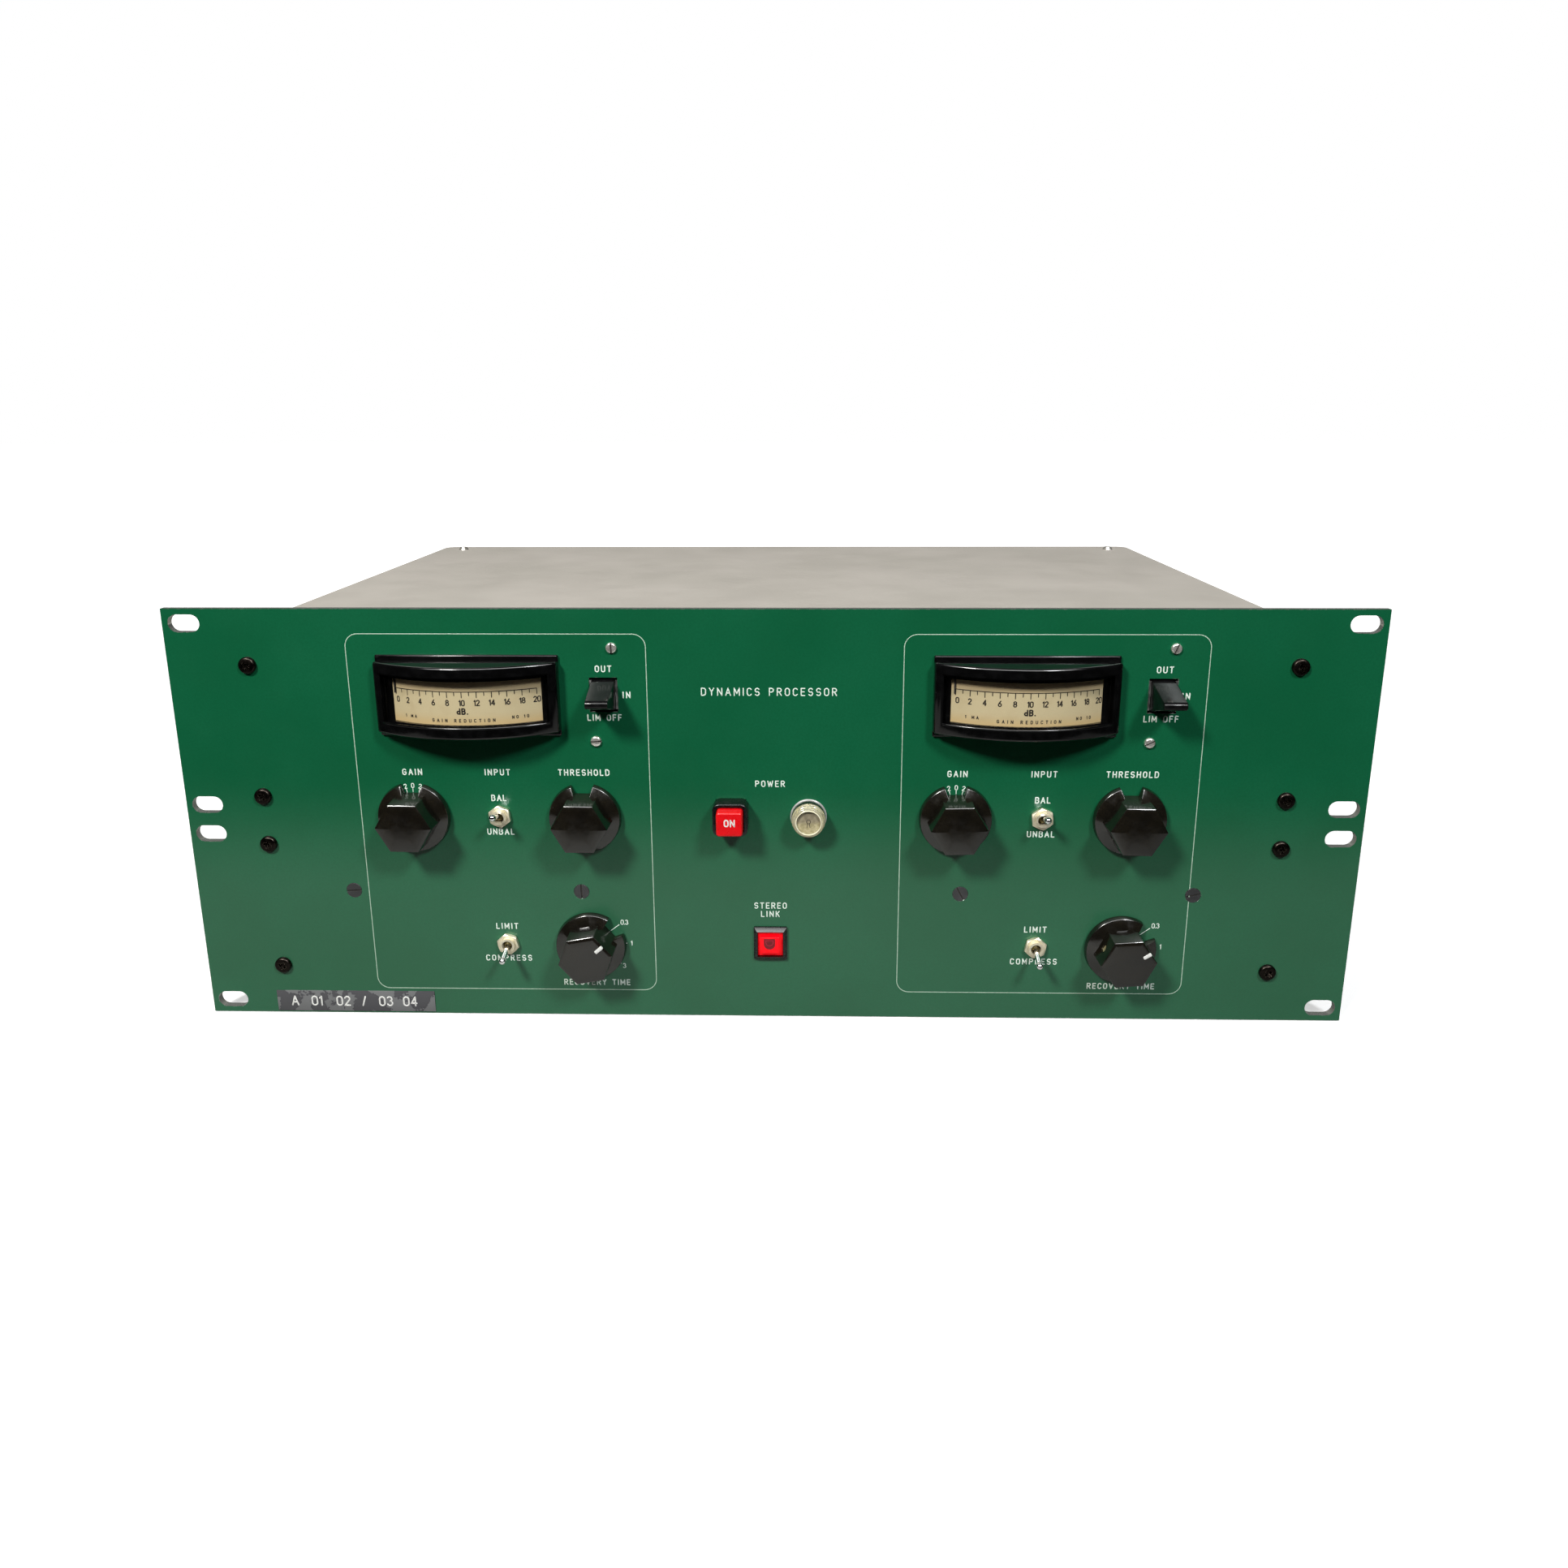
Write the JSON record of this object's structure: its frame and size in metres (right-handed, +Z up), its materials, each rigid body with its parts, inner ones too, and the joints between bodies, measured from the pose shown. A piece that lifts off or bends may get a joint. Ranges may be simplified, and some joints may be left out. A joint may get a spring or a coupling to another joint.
{
  "type": "rack compressor",
  "caption": "Stereo rack compressor: green enamel front panel with edgewise meters, hexagonal knobs, toggles, lever keys, buttons and a lamp on a folded sheet chassis.",
  "frame": {"origin": "bottom centre of the object's bounding box; the front panel's lower edge and the bottom cover lie on Z = 0", "axes": "+X to the viewer's right along the panel, +Y towards the back, +Z up"},
  "size_m": [0.4826, 0.32, 0.177],
  "materials": {
    "black_nylon": "satin",
    "black_phenolic": "gloss",
    "black_plastic": "satin",
    "board_laminate": "satin",
    "brass": "machined",
    "bright_chrome": "polished",
    "bronzed_screw": "satin",
    "bulb_glass": "polished",
    "button_black": "satin",
    "capacitor_sleeve": "satin",
    "clear_acrylic": "polished",
    "connector_nickel": "satin",
    "cream_lens": "polished",
    "green_enamel": "satin",
    "grey_enamel": "satin",
    "lamination_steel": "varnished",
    "meter_black": "gloss",
    "movement_alloy": "satin",
    "needle_black": "matte",
    "nickel_plate": "polished",
    "nickel_screw": "polished",
    "pot_can": "satin",
    "red_cap": "gloss",
    "red_lens": "polished",
    "scale_cream": "matte",
    "shield_can": "satin",
    "switch_wafer": "matte",
    "winding_tape": "satin",
    "zinc_plate": "dull"
  },
  "bodies": {
    "chassis": {"audio_transformers": "shield_can", "board_supports": "zinc_plate", "bottom_cover": "zinc_plate", "bracket_screws": "nickel_screw", "capacitors": "capacitor_sleeve", "case_screws": "nickel_screw", "circuit_boards": "board_laminate", "control_nuts": "nickel_plate", "earth_terminal": "brass", "front_panel": "green_enamel", "fuse_holder": "black_nylon", "input_connectors": "connector_nickel", "key_screws": "nickel_screw", "key_switch_frames": "zinc_plate", "lamp_bezel": "bright_chrome", "lamp_bulb": "bulb_glass", "lamp_lens": "cream_lens", "link_button_body": "button_black", "mains_inlet": "black_nylon", "meter_case_a": "meter_black", "meter_case_b": "meter_black", "meter_movements": "movement_alloy", "meter_scales": "scale_cream", "meter_windows": "clear_acrylic", "output_connectors": "connector_nickel", "panel_screws": "bronzed_screw", "potentiometers": "pot_can", "power_button_body": "button_black", "rear_panel": "grey_enamel", "rear_screws": "nickel_screw", "recovery_switches": "switch_wafer", "side_plate_left": "grey_enamel", "side_plate_right": "grey_enamel", "toggle_nuts": "nickel_plate", "toggle_switches": "nickel_plate", "top_cover": "grey_enamel", "transformer_core": "lamination_steel", "transformer_winding": "winding_tape"},
    "gain_control_a": {"gain_knob_a": "black_phenolic", "gain_shaft_a": "brass"},
    "threshold_control_a": {"threshold_knob_a": "black_phenolic", "threshold_shaft_a": "brass"},
    "recovery_control_a": {"recovery_knob_a": "black_phenolic", "recovery_shaft_a": "brass"},
    "input_lever_a": {"input_toggle_a": "bright_chrome"},
    "mode_lever_a": {"mode_toggle_a": "bright_chrome"},
    "output_key_a": {"key_lever_a": "black_plastic"},
    "needle_a": {"meter_needle_a": "needle_black"},
    "gain_control_b": {"gain_knob_b": "black_phenolic", "gain_shaft_b": "brass"},
    "threshold_control_b": {"threshold_knob_b": "black_phenolic", "threshold_shaft_b": "brass"},
    "recovery_control_b": {"recovery_knob_b": "black_phenolic", "recovery_shaft_b": "brass"},
    "input_lever_b": {"input_toggle_b": "bright_chrome"},
    "mode_lever_b": {"mode_toggle_b": "bright_chrome"},
    "output_key_b": {"key_lever_b": "black_plastic"},
    "needle_b": {"meter_needle_b": "needle_black"},
    "power_button": {"power_button_cap": "red_cap"},
    "link_button": {"link_button_cap": "red_lens"}
  },
  "joints": [
    {"name": "gain_turn_a", "type": "hinge", "parent": "chassis", "child": "gain_control_a", "pos_m": [-0.1464, -0.143, 0.0903], "axis": [0, 1, 0], "range_deg": [-132, 132]},
    {"name": "threshold_turn_a", "type": "hinge", "parent": "chassis", "child": "threshold_control_a", "pos_m": [-0.0758, -0.143, 0.0903], "axis": [0, 1, 0], "range_deg": [-135, 135]},
    {"name": "recovery_turn_a", "type": "hinge", "parent": "chassis", "child": "recovery_control_a", "pos_m": [-0.0758, -0.143, 0.033], "axis": [0, 1, 0], "range_deg": [0, 72]},
    {"name": "input_flip_a", "type": "hinge", "parent": "chassis", "child": "input_lever_a", "pos_m": [-0.1111, -0.1436, 0.09055], "axis": [1, 0, 0], "range_deg": [0, 34]},
    {"name": "mode_flip_a", "type": "hinge", "parent": "chassis", "child": "mode_lever_a", "pos_m": [-0.1111, -0.1436, 0.0333], "axis": [1, 0, 0], "range_deg": [-28, 0]},
    {"name": "key_tilt_a", "type": "hinge", "parent": "chassis", "child": "output_key_a", "pos_m": [-0.0662, -0.1415, 0.1421], "axis": [1, 0, 0], "range_deg": [-12, 12]},
    {"name": "needle_swing_a", "type": "hinge", "parent": "chassis", "child": "needle_a", "pos_m": [-0.1203, -0.0938, 0.142], "axis": [0, 0, 1], "range_deg": [0, 56.8], "stiffness_Nm_per_rad": 0.0001, "springref_deg": -2.86},
    {"name": "gain_turn_b", "type": "hinge", "parent": "chassis", "child": "gain_control_b", "pos_m": [0.0758, -0.143, 0.0903], "axis": [0, 1, 0], "range_deg": [-132, 132]},
    {"name": "threshold_turn_b", "type": "hinge", "parent": "chassis", "child": "threshold_control_b", "pos_m": [0.1464, -0.143, 0.0903], "axis": [0, 1, 0], "range_deg": [-135, 135]},
    {"name": "recovery_turn_b", "type": "hinge", "parent": "chassis", "child": "recovery_control_b", "pos_m": [0.1464, -0.143, 0.033], "axis": [0, 1, 0], "range_deg": [0, 72]},
    {"name": "input_flip_b", "type": "hinge", "parent": "chassis", "child": "input_lever_b", "pos_m": [0.1111, -0.1436, 0.09055], "axis": [1, 0, 0], "range_deg": [0, 34]},
    {"name": "mode_flip_b", "type": "hinge", "parent": "chassis", "child": "mode_lever_b", "pos_m": [0.1111, -0.1436, 0.0333], "axis": [1, 0, 0], "range_deg": [-34, 0]},
    {"name": "key_tilt_b", "type": "hinge", "parent": "chassis", "child": "output_key_b", "pos_m": [0.156, -0.1415, 0.1421], "axis": [1, 0, 0], "range_deg": [-12, 12]},
    {"name": "needle_swing_b", "type": "hinge", "parent": "chassis", "child": "needle_b", "pos_m": [0.1019, -0.0938, 0.142], "axis": [0, 0, 1], "range_deg": [0, 56.8], "stiffness_Nm_per_rad": 0.0001, "springref_deg": -2.86},
    {"name": "power_press", "type": "slide", "parent": "chassis", "child": "power_button", "axis": [0, 1, 0], "range_m": [0, 0.003], "stiffness_N_per_m": 400, "springref_m": -0.002},
    {"name": "link_press", "type": "slide", "parent": "chassis", "child": "link_button", "axis": [0, 1, 0], "range_m": [0, 0.0018], "stiffness_N_per_m": 400, "springref_m": -0.002}
  ]
}
